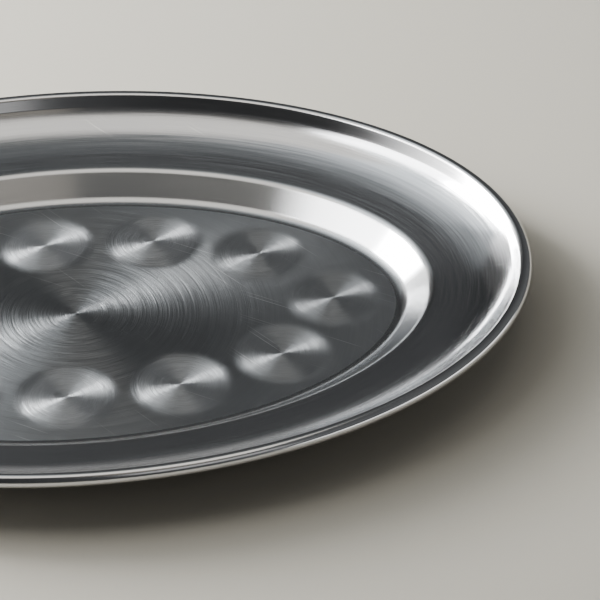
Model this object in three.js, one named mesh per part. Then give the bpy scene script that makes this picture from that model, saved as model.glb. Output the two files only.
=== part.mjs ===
// Oval serving platter: one pressed stainless steel sheet, its edge rolled over a ring of steel wire.
// Millimetres, +Z up. The origin is the middle of the flat underside, and +X runs along the length.
import * as THREE from 'three';

// Driving dimensions. Bend radii are to the middle of the sheet, and slopes are in degrees.
const length = 300;           // over the rolled rim, along X
const width = 215;            // over the rolled rim, along Y
const sheet = 0.7;            // thickness of the pressed sheet
const wellDepth = 8.2;        // from the floor up to the inner edge of the flange
const wallSlope = 41;         // wall of the well
const floorBend = 6.5;        // between the floor and the wall
const shoulderBend = 4.6;     // between the wall and the flange
const flangeSlope = 6.5;      // the flange rises gently outward
const flangeLength = 6;       // straight part of the flange, along the slope
const flareBend = 40;         // broad sweep that turns the flange upward
const flareSlope = 23.5;      // where the broad sweep ends
const upturnBend = 24;        // closer sweep that carries on upward from it
const upturnSlope = 44.5;     // where the closer sweep ends
const lipBend = 5;            // tight bend from the sweep up into the lip
const lipSlope = 57;          // lip, up to the rolled rim
const lipLength = 2.8;        // straight part of the lip, along the slope
const beadRadius = 2.3;       // outside of the rolled rim
const curlGap = 0.7;          // opening left between the end of the roll and the back of the lip
const wireClearance = 0.3;    // between the wire and the inside of the roll

// Facets
const sweepSegments = 64;     // round the oval, a multiple of four so that both axes fall on an edge
const bendFacet = 12;         // most degrees in one facet of a pressed bend
const curlFacet = 22.5;       // most degrees in one facet of the rolled rim
const wireSides = 10;

// What follows from those
const halfLength = length / 2;
const halfWidth = width / 2;
const curlRadius = beadRadius - sheet / 2;
const wireRadius = beadRadius - sheet - wireClearance;
const radians = THREE.MathUtils.degToRad;
const degrees = THREE.MathUtils.radToDeg;

// Stations along the middle of the sheet, walked outward from the edge of the floor.
// Each has its place and its slope, and the two skins lie half a thickness either side of it.
function walkSheet() {
  const stations = [{ x: 0, z: sheet / 2, slope: 0 }];
  const last = () => stations[stations.length - 1];

  function straight(distance) {
    const { x, z, slope } = last();
    stations.push({ x: x + distance * Math.cos(slope), z: z + distance * Math.sin(slope), slope });
  }

  function bend(radius, slopeDegrees, facet) {
    const from = last();
    const to = radians(slopeDegrees);
    const side = Math.sign(to - from.slope);
    const steps = Math.ceil(degrees(Math.abs(to - from.slope)) / facet - 1e-6);
    for (let step = 1; step <= steps; step += 1) {
      const slope = THREE.MathUtils.lerp(from.slope, to, step / steps);
      stations.push({
        x: from.x + side * radius * (Math.sin(slope) - Math.sin(from.slope)),
        z: from.z + side * radius * (Math.cos(from.slope) - Math.cos(slope)),
        slope,
      });
    }
  }

  // Well: a bend up from the floor, a straight wall as tall as the depth leaves, and the shoulder.
  const floorBendRise = floorBend * (1 - Math.cos(radians(wallSlope)));
  const shoulderRise = shoulderBend * (Math.cos(radians(flangeSlope)) - Math.cos(radians(wallSlope)));
  bend(floorBend, wallSlope, bendFacet);
  straight((wellDepth - floorBendRise - shoulderRise) / Math.sin(radians(wallSlope)));
  bend(shoulderBend, flangeSlope, bendFacet);

  // Flange, its two sweeps upward, and the lip.
  straight(flangeLength);
  bend(flareBend, flareSlope, bendFacet);
  bend(upturnBend, upturnSlope, bendFacet);
  bend(lipBend, lipSlope, bendFacet);
  straight(lipLength);

  // Rolled rim: over the top, down the outside, under, and back until the gap behind the lip is left.
  const curlStart = last();
  const unrolled = degrees(Math.acos(1 - (sheet + curlGap) / curlRadius));
  for (const slope of [0, -90, -180, lipSlope - 360 + unrolled]) {
    bend(curlRadius, slope, curlFacet);
  }
  const curlCentre = {
    x: curlStart.x + curlRadius * Math.sin(curlStart.slope),
    z: curlStart.z - curlRadius * Math.cos(curlStart.slope),
  };
  return { stations, curlCentre };
}

const { stations, curlCentre } = walkSheet();

// The section is drawn on the long axis, so the floor's edge lies where the rest of it leaves off.
const floorRadius = halfLength - (curlCentre.x + beadRadius);

// One skin of the sheet as a profile: side is +1 for the upper skin and -1 for the lower one.
function skin(side) {
  const points = stations.map(({ x, z, slope }) => new THREE.Vector2(
    floorRadius + x - side * (sheet / 2) * Math.sin(slope),
    z + side * (sheet / 2) * Math.cos(slope),
  ));
  const middle = new THREE.Vector2(0, sheet / 2 + side * (sheet / 2));
  return [middle, ...points];
}

// Turns a profile into a ring, then moves the ring from round to oval. A point keeps its distance from
// the rim, so the flange is one width all round, and the floor shrinks evenly towards the middle.
function sweepOval(profile) {
  const geometry = new THREE.LatheGeometry(profile, sweepSegments);
  geometry.rotateX(Math.PI / 2);
  const position = geometry.attributes.position;
  for (let index = 0; index < position.count; index += 1) {
    const x = position.getX(index);
    const y = position.getY(index);
    const radius = Math.hypot(x, y);
    const turn = Math.atan2(y, x);
    const outward = new THREE.Vector2(halfWidth * Math.cos(turn), halfLength * Math.sin(turn)).normalize();
    const rim = new THREE.Vector2(halfLength * Math.cos(turn), halfWidth * Math.sin(turn));
    const inset = Math.max(radius, floorRadius) - halfLength;
    const place = rim.addScaledVector(outward, inset).multiplyScalar(Math.min(radius / floorRadius, 1));
    position.setXY(index, place.x, place.y);
  }
  geometry.computeVertexNormals();
  return geometry;
}

// Pressed tray: floor, well wall, flange, lip and the rolled rim, all in one sheet.
function pressedTray() {
  const profile = [...skin(-1), ...skin(1).reverse()];
  const steel = new THREE.MeshStandardMaterial({ color: 0xb4b6b8, roughness: 0.32, metalness: 1 });
  const mesh = new THREE.Mesh(sweepOval(profile), steel);
  mesh.name = 'pressed_tray';
  return mesh;
}

// Wire ring that the edge of the sheet is rolled over.
function rimWire() {
  const centreX = floorRadius + curlCentre.x;
  const round = new THREE.EllipseCurve(centreX, curlCentre.z, wireRadius, wireRadius);
  const steel = new THREE.MeshStandardMaterial({ color: 0x8f9092, roughness: 0.45, metalness: 1 });
  const mesh = new THREE.Mesh(sweepOval(round.getPoints(wireSides)), steel);
  mesh.name = 'rim_wire';
  return mesh;
}

const platter = new THREE.Group();
platter.add(pressedTray(), rimWire());

export default platter;
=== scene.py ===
import math

import bpy
from mathutils import Matrix, Vector


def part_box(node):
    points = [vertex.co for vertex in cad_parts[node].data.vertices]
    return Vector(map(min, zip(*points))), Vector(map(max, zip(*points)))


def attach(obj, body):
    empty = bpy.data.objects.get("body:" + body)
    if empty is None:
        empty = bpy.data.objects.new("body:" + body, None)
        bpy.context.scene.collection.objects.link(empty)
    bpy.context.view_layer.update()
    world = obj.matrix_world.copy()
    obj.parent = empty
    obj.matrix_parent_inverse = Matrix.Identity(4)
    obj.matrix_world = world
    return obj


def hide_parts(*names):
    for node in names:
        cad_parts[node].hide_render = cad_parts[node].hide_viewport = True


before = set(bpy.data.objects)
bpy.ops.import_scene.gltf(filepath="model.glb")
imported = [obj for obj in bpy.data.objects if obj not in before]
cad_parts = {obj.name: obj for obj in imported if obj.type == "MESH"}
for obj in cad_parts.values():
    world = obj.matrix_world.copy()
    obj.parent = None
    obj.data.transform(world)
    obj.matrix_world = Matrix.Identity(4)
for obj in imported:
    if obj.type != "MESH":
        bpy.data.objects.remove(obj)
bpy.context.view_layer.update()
mm = 0.001

# Section of the sheet, as in the CAD part. Bend radii are to the middle of the sheet, slopes in degrees.
sheet = 0.7 * mm
well_depth = 8.2 * mm
wall_slope = 41
floor_bend = 6.5 * mm
shoulder_bend = 4.6 * mm
flange_slope = 6.5
flange_length = 6 * mm
flare_bend = 40 * mm
flare_slope = 23.5
upturn_bend = 24 * mm
upturn_slope = 44.5
lip_bend = 5 * mm
lip_slope = 57
lip_length = 2.8 * mm
bead_radius = 2.3 * mm
curl_gap = 0.7 * mm
wire_clearance = 0.3 * mm

# Fineness of the mesh
sweep_segments = 320
bend_facet = 4
sweep_facet = 2
curl_facet = 6
wire_sides = 24
rounding = 1e-6  # keeps a bend of whole facets from getting one facet more

# What follows from those
tray_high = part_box("pressed_tray")[1]
half_length = tray_high.x
half_width = tray_high.y
curl_radius = bead_radius - sheet / 2
wire_radius = bead_radius - sheet - wire_clearance

# Brushing of the floor: a swirl that grows fainter outward, and a ring of spots
swirl_centre = Vector((-0.4 * mm, 1.9 * mm, 0))
swirl_near = 20 * mm
swirl_far = 110 * mm
swirl_strong = 0.7
swirl_faint = 0.1
spot_count = 11
spot_radius = 15.7 * mm
spot_full = 0.75 * spot_radius  # pressed at full strength up to here
spot_turned = 0.9 * spot_radius  # all brush marks run round the spot up to here
spot_edge = 1.15 * spot_radius
spot_ring_centre = Vector((2.0 * mm, 0, 0))
spot_ring_half_length = 83.5 * mm
spot_ring_half_width = 42.4 * mm
lighter_at_ends = 0.4  # how much less the spots at the two ends are pressed

# Shared by the finishes
streak_low = 0.3  # most of the noise lies between these two
streak_high = 0.7
bare_scratch = (0.9, 0.9, 0.9, 1)


# Section of the sheet, walked outward from the edge of the floor

def walk_sheet():
    """Stations (x, z, slope, distance walked) along the middle of the sheet, and the finish of each span.

    Also how far along the flare starts, and the centre of the roll."""
    stations = [(0.0, sheet / 2, 0.0, 0.0)]
    finishes = []

    def straight(distance, finish, spans=1):
        for _ in range(spans):
            x, z, slope, walked = stations[-1]
            step = distance / spans
            stations.append((x + step * math.cos(slope), z + step * math.sin(slope), slope, walked + step))
            finishes.append(finish)

    def bend(radius, slope_degrees, finish, facet=bend_facet):
        from_x, from_z, from_slope, from_walked = stations[-1]
        turn = math.radians(slope_degrees) - from_slope
        side = math.copysign(1, turn)
        steps = math.ceil(abs(math.degrees(turn)) / facet - rounding)
        for step in range(1, steps + 1):
            slope = from_slope + turn * step / steps
            x = from_x + side * radius * (math.sin(slope) - math.sin(from_slope))
            z = from_z + side * radius * (math.cos(from_slope) - math.cos(slope))
            stations.append((x, z, slope, from_walked + radius * abs(turn) * step / steps))
            finishes.append(finish)

    wall = math.radians(wall_slope)
    flange = math.radians(flange_slope)
    floor_bend_rise = floor_bend * (1 - math.cos(wall))
    shoulder_rise = shoulder_bend * (math.cos(flange) - math.cos(wall))
    bend(floor_bend, wall_slope, "wall")
    straight((well_depth - floor_bend_rise - shoulder_rise) / math.sin(wall), "wall")
    bend(shoulder_bend, flange_slope, "wall")
    straight(flange_length, "flange", spans=4)
    flare_start = stations[-1][3]
    bend(flare_bend, flare_slope, "flange", sweep_facet)
    bend(upturn_bend, upturn_slope, "flange", sweep_facet)
    bend(lip_bend, lip_slope, "rim")
    straight(lip_length, "rim", spans=2)

    start_x, start_z, start_slope, _ = stations[-1]
    unrolled = math.degrees(math.acos(1 - (sheet + curl_gap) / curl_radius))
    for slope in (0, -90, -180, lip_slope - 360 + unrolled):
        bend(curl_radius, slope, "rim", curl_facet)
    curl_centre = (
        start_x + curl_radius * math.sin(start_slope),
        start_z - curl_radius * math.cos(start_slope),
    )
    return stations, finishes, flare_start, curl_centre


stations, finishes, flare_start, curl_centre = walk_sheet()
floor_radius = half_length - (curl_centre[0] + bead_radius)


# Meshes swept round the oval

def oval_place(radius, turn):
    """Where a point of the section lands. It keeps its distance from the rim. The floor shrinks evenly."""
    rim = Vector((half_length * math.cos(turn), half_width * math.sin(turn), 0))
    inset = max(radius, floor_radius) - half_length
    return (rim + outward(turn) * inset) * min(radius / floor_radius, 1)


def outward(turn):
    return Vector((half_width * math.cos(turn), half_length * math.sin(turn), 0)).normalized()


def sweep_oval(name, section, strips, materials):
    """A mesh from a section of (radius, z, distance walked) points, and strips between neighbours.

    Each strip gives the section's normal (outward, up) at both its ends and the number of its material."""
    mesh = bpy.data.meshes.new(name)
    turns = [2 * math.pi * step / sweep_segments for step in range(sweep_segments)]
    verts = []
    rings = []
    brush = []
    across = []
    for number, (radius, z, walked) in enumerate(section):
        ahead = section[(number + 1) % len(section)]
        behind = section[number - 1]
        lean = Vector((ahead[0] - behind[0], ahead[1] - behind[1])).normalized()
        here = turns if radius > 0 else turns[:1]
        rings.append([len(verts) + step % len(here) for step in range(sweep_segments)])
        for turn in here:
            verts.append(oval_place(radius, turn) + Vector((0, 0, z)))
            brush.append((math.cos(turn), math.sin(turn), walked))
            across.append(outward(turn) * lean.x + Vector((0, 0, lean.y)))

    faces = []
    numbers = []
    normals = []
    for number, (start, end, material) in enumerate(strips):
        first = rings[number]
        second = rings[(number + 1) % len(rings)]
        for step in range(sweep_segments):
            after = (step + 1) % sweep_segments
            corners = [(first[step], step, start), (first[after], after, start),
                       (second[after], after, end), (second[step], step, end)]
            if first[step] == first[after]:
                corners.pop(1)
            if second[step] == second[after]:
                corners.pop()
            faces.append([vert for vert, _, _ in corners])
            numbers.append(material)
            for _, at, (out, up) in corners:
                normals.append(outward(turns[at]) * out + Vector((0, 0, up)))
    mesh.from_pydata(verts, [], faces)
    mesh.polygons.foreach_set("use_smooth", [True] * len(faces))
    mesh.polygons.foreach_set("material_index", numbers)
    for attribute, values in (("brush", brush), ("across", across)):
        made = mesh.attributes.new(attribute, "FLOAT_VECTOR", "POINT")
        made.data.foreach_set("vector", [number for value in values for number in value])
    for material in materials:
        mesh.materials.append(material)
    mesh.normals_split_custom_set(normals)
    piece = bpy.data.objects.new(name, mesh)
    bpy.context.scene.collection.objects.link(piece)
    return piece


# Node helpers. Most of them return the socket that they make.

class Nodes:
    """The nodes of one material. Inputs may be sockets or plain values."""

    def __init__(self, name):
        self.material = bpy.data.materials.new(name)
        self.material.use_nodes = True
        self.tree = self.material.node_tree
        self.shader = self.tree.nodes["Principled BSDF"]

    def add(self, kind, inputs=(), **settings):
        made = self.tree.nodes.new("ShaderNode" + kind)
        for name, value in settings.items():
            setattr(made, name, value)
        for name, value in dict(inputs).items():
            self.feed(made.inputs[name], value)
        return made

    def feed(self, socket, value):
        if isinstance(value, bpy.types.NodeSocket):
            self.tree.links.new(value, socket)
        else:
            socket.default_value = value

    def set(self, **inputs):
        for name, value in inputs.items():
            self.feed(self.shader.inputs[name.replace("_", " ")], value)

    def attribute(self, name):
        return self.add("Attribute", attribute_name=name).outputs["Vector"]

    def place(self):
        return self.add("TexCoord").outputs["Object"]

    def maths(self, operation, first, second=0.0):
        return self.add("Math", {0: first, 1: second}, operation=operation).outputs[0]

    def vector(self, operation, first, second=(0, 0, 0)):
        made = self.add("VectorMath", {0: first, 1: second}, operation=operation)
        return made.outputs["Value" if operation == "LENGTH" else "Vector"]

    def scaled(self, vector, factor):
        return self.add("VectorMath", {0: vector, "Scale": factor}, operation="SCALE").outputs["Vector"]

    def span(self, value, low, high, to_low, to_high, smooth=False):
        kind = "SMOOTHSTEP" if smooth else "LINEAR"
        inputs = {0: value, 1: low, 2: high, 3: to_low, 4: to_high}
        return self.add("MapRange", inputs, interpolation_type=kind).outputs[0]

    def noise(self, where, detail, roughness=0.5):
        inputs = {"Vector": where, "Scale": 1.0, "Detail": detail, "Roughness": roughness}
        return self.add("TexNoise", inputs).outputs["Fac"]

    def mix_vector(self, factor, first, second):
        made = self.add("Mix", data_type="VECTOR")
        self.feed(made.inputs[0], factor)
        self.feed(made.inputs[4], first)
        self.feed(made.inputs[5], second)
        return made.outputs[1]

    def mix_colour(self, factor, first, second):
        made = self.add("Mix", data_type="RGBA")
        self.feed(made.inputs[0], factor)
        self.feed(made.inputs[6], first)
        self.feed(made.inputs[7], second)
        return made.outputs[2]

    def grooved(self, across, lines, depth):
        """The surface normal, rocked along the direction across by lines of about 0.5 on average."""
        rock = self.maths("MULTIPLY", self.maths("SUBTRACT", lines, 0.5), depth)
        normal = self.add("NewGeometry").outputs["Normal"]
        return self.vector("NORMALIZE", self.vector("ADD", normal, self.scaled(across, rock)))

    def streaks(self, along, across, detail, roughness=0.5):
        """Noise drawn out along the oval. It changes so often in a radian of turn, and in a metre across."""
        drawn_out = self.vector("MULTIPLY", self.attribute("brush"), (along, along, across))
        return self.noise(drawn_out, detail, roughness)

    def scratches(self, where, turn):
        """A few fine straight scratches, all at one turn in degrees: up to 0.8 on them and 0 elsewhere."""
        inputs = {"Vector": where, "Angle": math.radians(turn)}
        turned = self.add("VectorRotate", inputs, rotation_type="Z_AXIS").outputs["Vector"]
        along = 30
        across = 2500
        lines = self.noise(self.vector("MULTIPLY", turned, (along, across, 0)), detail=0.0)
        rare = 0.78
        rarest = 0.88
        return self.span(lines, rare, rarest, 0, 0.8)


# Finishes of the steel

def spot_centres():
    """Centres of the brushed spots, evenly spaced along their oval ring."""
    steps = 7200
    ring = []
    for step in range(steps):
        turn = 2 * math.pi * step / steps
        offset = Vector((spot_ring_half_length * math.cos(turn), spot_ring_half_width * math.sin(turn), 0))
        ring.append(spot_ring_centre + offset)
    lengths = [0.0]
    for step in range(steps):
        lengths.append(lengths[-1] + (ring[(step + 1) % steps] - ring[step]).length)
    centres = []
    for spot in range(spot_count):
        goal = lengths[-1] * spot / spot_count
        centres.append(next(place for place, far in zip(ring, lengths) if far >= goal))
    return centres


def brushed_floor():
    """Floor brushed in a big swirl about its middle, with a ring of small round spots on top."""
    nodes = Nodes("floor_brushed")
    level = (1, 1, 0)
    flat = nodes.vector("MULTIPLY", nodes.place(), level)
    grain = nodes.add("TexWhiteNoise", {"Vector": flat}).outputs

    # The arm reaches out to a place from the middle of the swirl, or of the spot that the place is in.
    # Near a spot's edge the marks of spot and swirl mingle, speck by speck.
    arm = nodes.vector("SUBTRACT", flat, tuple(swirl_centre))
    swirl_reach = nodes.vector("LENGTH", arm)
    in_spot = 0.0
    for centre in spot_centres():
        offset = nodes.vector("SUBTRACT", flat, tuple(centre))
        reach = nodes.vector("LENGTH", offset)
        share = nodes.span(reach, spot_turned, spot_edge, 1, 0, smooth=True)
        arm = nodes.mix_vector(nodes.maths("GREATER_THAN", share, grain["Value"]), arm, offset)
        light_touch = 1 - lighter_at_ends * abs(centre.x) / spot_ring_half_length
        pressed = nodes.span(reach, spot_full, spot_edge, light_touch, 0, smooth=True)
        in_spot = nodes.maths("MAXIMUM", pressed, in_spot)
    swirl = nodes.span(swirl_reach, swirl_near, swirl_far, swirl_strong, swirl_faint, smooth=True)
    brushed = nodes.maths("MAXIMUM", swirl, in_spot)

    # Ring-shaped lines, different in each spot
    radial = nodes.vector("NORMALIZE", arm)
    reach = nodes.vector("LENGTH", arm)
    apart = 170
    seed = nodes.scaled(nodes.vector("SUBTRACT", flat, arm), apart)

    def rings(pitch, turning, detail):
        """Noise drawn out along circles: pitch apart, and changing that many times in a radian of turn."""
        out = nodes.add("CombineXYZ", {"Z": nodes.maths("MULTIPLY", reach, 1 / pitch)}).outputs[0]
        about = nodes.scaled(radial, turning)
        return nodes.noise(nodes.vector("ADD", nodes.vector("ADD", about, out), seed), detail)

    fine = rings(pitch=0.06 * mm, turning=1.5, detail=1.0)
    lines = rings(pitch=0.3 * mm, turning=2.5, detail=3.0)

    # Colour and roughness
    scratched = nodes.maths("MAXIMUM", nodes.scratches(flat, 35), nodes.scratches(flat, 55))
    colour = nodes.mix_colour(lines, (0.43, 0.44, 0.45, 1), (0.50, 0.51, 0.52, 1))
    colour = nodes.mix_colour(scratched, colour, bare_scratch)
    plain_rough = 0.28
    spot_rough = nodes.span(in_spot, 0, 1, plain_rough, 0.45)
    swirl_rough = nodes.span(swirl, 0, swirl_strong, plain_rough, 0.31)
    rough = nodes.maths("MAXIMUM", spot_rough, swirl_rough)
    nodes.set(Base_Color=colour, Metallic=1.0, Roughness=rough, Anisotropic=0.92)

    # Grooves across the arm. Some specks stray from it, most of them where the brushing is faint.
    stray = nodes.vector("MULTIPLY", nodes.vector("SUBTRACT", grain["Color"], (0.5, 0.5, 0.5)), level)
    chance = nodes.add("SeparateXYZ", {0: grain["Color"]}).outputs["Z"]
    strong = 0.6
    most_kept = 0.93
    strays_in_spots = 0.25
    in_line = nodes.span(brushed, 0, strong, 0, most_kept)
    in_line = nodes.maths("SUBTRACT", in_line, nodes.maths("MULTIPLY", in_spot, strays_in_spots))
    kept = nodes.maths("LESS_THAN", chance, in_line)
    across = nodes.vector("NORMALIZE", nodes.mix_vector(kept, stray, radial))
    fine_share = 0.85
    fine_part = nodes.maths("MULTIPLY", fine, fine_share)
    grooves = nodes.maths("ADD", fine_part, nodes.maths("MULTIPLY", lines, 1 - fine_share))
    shallow = 0.3
    deep = 2.6
    depth = nodes.span(brushed, 0, 1, shallow, deep)
    nodes.set(Tangent=across, Normal=nodes.grooved(across, grooves, depth))
    return nodes.material


def streaked_steel(name, streaks, dark, pale, smooth, rough):
    """Nodes of a steel with faint lines along the oval, between two greys and two roughnesses."""
    nodes = Nodes(name)
    lines = nodes.streaks(**streaks)
    colour = nodes.mix_colour(lines, dark, pale)
    roughness = nodes.span(lines, streak_low, streak_high, smooth, rough)
    nodes.set(Base_Color=colour, Metallic=1.0, Roughness=roughness)
    return nodes


def polished_wall():
    """Well wall, bright with faint lines along the oval."""
    nodes = streaked_steel(
        "wall_polished", dict(along=5, across=3000, detail=3.0),
        dark=(0.60, 0.61, 0.62, 1), pale=(0.70, 0.70, 0.70, 1), smooth=0.17, rough=0.19)
    nodes.set(Anisotropic=0.85, Tangent=nodes.attribute("across"))
    return nodes.material


def satin_flange():
    """Flange brushed along the oval, smoother towards the lip."""
    nodes = Nodes("flange_satin")
    lines = nodes.streaks(along=3, across=2600, detail=4.0, roughness=0.6)
    colour = nodes.mix_colour(lines, (0.54, 0.55, 0.56, 1), (0.74, 0.74, 0.75, 1))
    colour = nodes.mix_colour(nodes.scratches(nodes.place(), 40), colour, bare_scratch)
    walked = nodes.add("SeparateXYZ", {0: nodes.attribute("brush")}).outputs["Z"]
    smoothest = flare_start + 15 * mm
    rough = nodes.span(walked, flare_start, smoothest, 0.22, 0.16, smooth=True)
    rough = nodes.maths("ADD", rough, nodes.span(lines, streak_low, streak_high, -0.04, 0.04))
    nodes.set(Base_Color=colour, Metallic=1.0, Roughness=rough, Anisotropic=0.6)
    across = nodes.attribute("across")
    groove_depth = 0.12
    nodes.set(Tangent=across, Normal=nodes.grooved(across, lines, groove_depth))
    return nodes.material


def polished_rim():
    """Lip and rolled rim, polished, with fine lines along the oval."""
    nodes = streaked_steel(
        "rim_polished", dict(along=6, across=2500, detail=3.0),
        dark=(0.64, 0.64, 0.65, 1), pale=(0.74, 0.74, 0.74, 1), smooth=0.14, rough=0.2)
    return nodes.material


def satin_underside():
    """Underside, left as pressed: dull, with faint lines along the oval."""
    nodes = streaked_steel(
        "underside_satin", dict(along=4, across=1500, detail=4.0),
        dark=(0.46, 0.46, 0.47, 1), pale=(0.58, 0.58, 0.59, 1), smooth=0.36, rough=0.46)
    nodes.set(Anisotropic=0.4, Tangent=nodes.attribute("across"))
    return nodes.material


def drawn_wire():
    """Plain drawn wire, with die lines along it."""
    nodes = streaked_steel(
        "wire_drawn", dict(along=8, across=4000, detail=3.0),
        dark=(0.40, 0.40, 0.41, 1), pale=(0.54, 0.54, 0.55, 1), smooth=0.36, rough=0.5)
    return nodes.material


# Pieces

def make_tray():
    makers = [brushed_floor, polished_wall, satin_flange, polished_rim, satin_underside]
    materials = [make() for make in makers]
    numbers = {"floor": 0, "wall": 1, "flange": 2, "rim": 3, "underside": 4}

    def skin(side):
        points = [(0.0, sheet / 2 + side * sheet / 2, 0.0)]
        tilts = [(0.0, float(side))]
        for x, z, slope, walked in stations:
            tilt = (-side * math.sin(slope), side * math.cos(slope))
            points.append((floor_radius + x + tilt[0] * sheet / 2, z + tilt[1] * sheet / 2, walked))
            tilts.append(tilt)
        return points, tilts

    spans = ["floor", *finishes]
    lower, lower_tilts = skin(-1)
    upper, upper_tilts = skin(1)
    strips = []
    for number, finish in enumerate(spans):
        shown = finish if finish == "rim" else "underside"
        strips.append((lower_tilts[number], lower_tilts[number + 1], numbers[shown]))
    end_slope = stations[-1][2]
    cut = (math.cos(end_slope), math.sin(end_slope))
    strips.append((cut, cut, numbers["underside"]))
    for number in reversed(range(len(spans))):
        strips.append((upper_tilts[number + 1], upper_tilts[number], numbers[spans[number]]))
    tray = sweep_oval("tray", lower + upper[::-1], strips, materials)
    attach(tray, "root")
    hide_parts("pressed_tray")


def make_wire():
    centre = floor_radius + curl_centre[0]
    walked_per_side = 0.25 * mm
    section = []
    strips = []
    turns = [2 * math.pi * side / wire_sides for side in range(wire_sides)]
    tilts = [(math.cos(turn), math.sin(turn)) for turn in turns]
    for side, (out, up) in enumerate(tilts):
        walked = side * walked_per_side
        section.append((centre + wire_radius * out, curl_centre[1] + wire_radius * up, walked))
        strips.append((tilts[side], tilts[(side + 1) % wire_sides], 0))
    wire = sweep_oval("wire_ring", section, strips, [drawn_wire()])
    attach(wire, "root")
    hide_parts("rim_wire")


make_tray()
make_wire()


# Floor, light and camera

def stage_sheet(name, corners, material):
    """One flat face of the stage, round the platter."""
    mesh = bpy.data.meshes.new(name)
    mesh.from_pydata(corners, [], [range(len(corners))])
    mesh.materials.append(material)
    made = bpy.data.objects.new(name, mesh)
    bpy.context.scene.collection.objects.link(made)
    return made


def pale_floor():
    """Pale table top, with painted shade: a little darker on the side of the camera, where less light falls.
    """
    nodes = Nodes("pale_floor")
    depth = nodes.add("SeparateXYZ", {0: nodes.place()}).outputs["Y"]
    darkest_from = -0.3
    palest_from = 0.05
    # Painted shade: the floor's colour darkens towards the camera in place of the light that falls off
    # there.
    shade_towards_camera = nodes.span(depth, darkest_from, palest_from, 1, 0, smooth=True)
    colour = nodes.mix_colour(shade_towards_camera, (0.64, 0.615, 0.55, 1), (0.52, 0.50, 0.45, 1))
    nodes.set(Base_Color=colour, Roughness=0.8)
    reach = 3.0
    under = -0.05 * mm
    sides = [(-1, -1), (1, -1), (1, 1), (-1, 1)]
    stage_sheet("floor", [(reach * x, reach * y, under) for x, y in sides], nodes.material)


def toward(bearing, rise):
    """A place seen from the platter at a bearing, where 0 is along +Y and -90 is to the left, and a rise."""
    distance = 1.5
    bearing = math.radians(bearing)
    rise = math.radians(rise)
    level = distance * math.cos(rise)
    return Vector((level * math.sin(bearing), level * math.cos(bearing), distance * math.sin(rise)))


def light_panel(name, outline, glow, colour=(1, 1, 1)):
    """A glowing sheet whose corners are seen from the platter at these bearings and rises.

    Its glow is one brightness, or goes from one to another between the two bearings that it names."""
    nodes = Nodes(name)
    if isinstance(glow, dict):
        place = nodes.add("SeparateXYZ", {0: nodes.place()}).outputs
        bearing = nodes.maths("ARCTAN2", place["X"], place["Y"])
        (first, bright_first), (second, bright_second) = glow.items()
        glow = nodes.span(bearing, math.radians(first), math.radians(second), bright_first, bright_second)
    nodes.set(Base_Color=(0, 0, 0, 1), Emission_Color=(*colour, 1), Emission_Strength=glow)
    panel = stage_sheet(name, [toward(bearing, rise) for bearing, rise in outline], nodes.material)
    panel.visible_camera = False  # so that it doesn't stand in the way of a view from its side


def room():
    """A dim room, paler to the right of the platter."""
    world = bpy.data.worlds.new("dim_room")
    bpy.context.scene.world = world
    world.use_nodes = True
    tree = world.node_tree
    background = tree.nodes["Background"]
    background.inputs["Color"].default_value = (0.96, 0.98, 1.0, 1)
    side = tree.nodes.new("ShaderNodeSeparateXYZ")
    glow = tree.nodes.new("ShaderNodeMapRange")
    glow.inputs["From Min"].default_value = -0.3
    glow.inputs["From Max"].default_value = 0.7
    glow.inputs["To Min"].default_value = 0.06
    glow.inputs["To Max"].default_value = 0.16
    tree.links.new(tree.nodes.new("ShaderNodeTexCoord").outputs["Generated"], side.inputs[0])
    tree.links.new(side.outputs["X"], glow.inputs["Value"])
    tree.links.new(glow.outputs["Result"], background.inputs["Strength"])


def photo_camera():
    """Camera of the photograph, from the fit of its ovals. A turn of 0 looks along +Y.

    Angles are in radians. The focal length, the frame and the place of the floor's middle are in pixels."""
    turn = -0.1598
    rise = 0.6338
    roll = 0.0186
    distance = 0.92275
    focal = 2800.0
    size = 600.0
    centre_column = 77.54
    centre_row = 316.8
    back = Vector((math.sin(turn) * math.cos(rise), -math.cos(turn) * math.cos(rise), math.sin(rise)))
    level = Vector((math.cos(turn), math.sin(turn), 0))
    upright = back.cross(level)
    right = level * math.cos(roll) + upright * math.sin(roll)
    up = upright * math.cos(roll) - level * math.sin(roll)
    floor_top = Vector((0, 0, sheet))
    aside = right * ((centre_column - size / 2) / focal * distance)
    above = up * ((size / 2 - centre_row) / focal * distance)
    place = floor_top + back * distance - aside - above
    data = bpy.data.cameras.new("photo_camera")
    data.sensor_width = 36
    data.lens = focal / size * data.sensor_width
    data.clip_start = 0.01
    camera = bpy.data.objects.new("photo_camera", data)
    turned = Matrix((right, up, back)).transposed().to_4x4()
    camera.matrix_world = Matrix.Translation(place) @ turned
    bpy.context.scene.collection.objects.link(camera)
    bpy.context.scene.camera = camera


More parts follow.
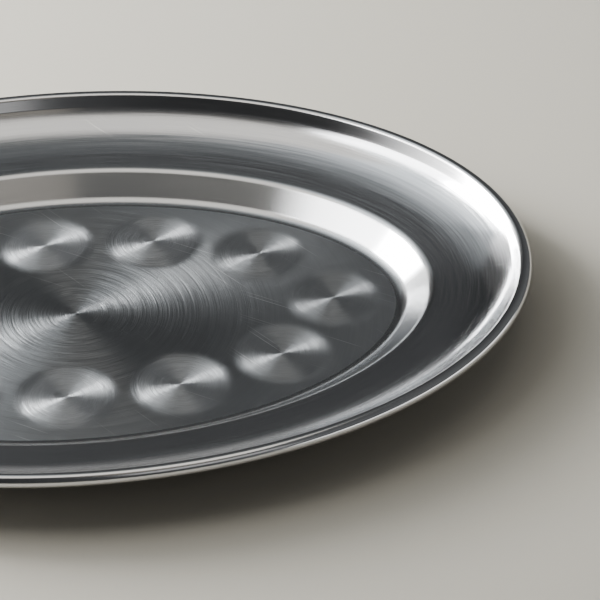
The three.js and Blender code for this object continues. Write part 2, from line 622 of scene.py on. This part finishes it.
def light_panels():
    """A bright window at the back left that fades out around it, and dimmer panels above and all round."""
    cool = (0.92, 0.97, 1.0)
    warm = (1.0, 0.97, 0.92)
    warmer = (1.0, 0.92, 0.82)

    # Corners that neighbouring panels share
    window_top = (-63, 48)
    window_right = (-46, 30)
    window_foot_right = (-37, 19)
    window_foot_left = (-72, 16)
    high_top_left = (-115, 64)
    high_top_right = (-95, 65)
    high_foot = (-78, 15)
    high_inner = (-80, 30)
    high_outer = (-106, 53)
    edge_top_left = (-30, 30)
    edge_top_right = (-8, 33)
    glow_left = (-33, 34)
    glow_middle = (-20, 46)
    glow_right = (0, 47)
    over_left = (-62, 61)
    over_back = (0, 72)
    over_right = (56, 64)

    window = [window_top, window_right, window_foot_right, window_foot_left]
    window_high = [high_top_left, high_top_right, window_top, window_foot_left,
                   high_foot, high_inner, high_outer]
    window_low = [high_foot, window_foot_left, window_foot_right, (-37, 1), (-78, 1)]
    window_left = [high_outer, high_inner, (-78, 1), (-110, 1), (-122, 26), (-122, 44)]
    window_edge = [window_foot_right, edge_top_left, edge_top_right, (-8, 1), (-37, 1)]
    glow_edge = [window_foot_right, glow_left, glow_middle, glow_right,
                 (0, 38), edge_top_right, edge_top_left]
    glow = [high_top_right, over_left, over_back, over_right, (30, 50), glow_right, glow_middle, glow_left,
            window_foot_right, window_right, window_top]
    overhead = [high_top_left, (-144, 70), (152, 71), (127, 63),
                over_right, over_back, over_left, high_top_right]
    light_panel("window", window, 20)
    light_panel("window_high", window_high, 4)
    light_panel("window_low", window_low, 7)
    light_panel("window_left", window_left, {-116: 0.12, -84: 1.7})
    light_panel("window_edge", window_edge, {-37: 1.6, -17: 0.12})
    light_panel("glow_edge", glow_edge, {-33: 0.6, -2: 0.15}, cool)
    light_panel("glow", glow, {-40: 1.1, 4: 0.14}, cool)
    light_panel("back_low", [(0, 9), (20, 9), (20, 1), (0, 1)], 0.36)
    light_panel("right_glow", [(75, 11), (145, 11), (145, 1), (75, 1)], 1.2)
    light_panel("overhead", overhead, 0.82, warm)
    light_panel("front_fill", [(140, 48), (173, 48), (173, 26), (140, 26)], 0.4)
    light_panel("front_warm", [(140, 67), (178, 68), (178, 55), (140, 55)], 0.28, warmer)


pale_floor()
room()
light_panels()
photo_camera()
bpy.context.scene.view_settings.view_transform = "AgX"
bpy.context.scene.view_settings.look = "AgX - High Contrast"
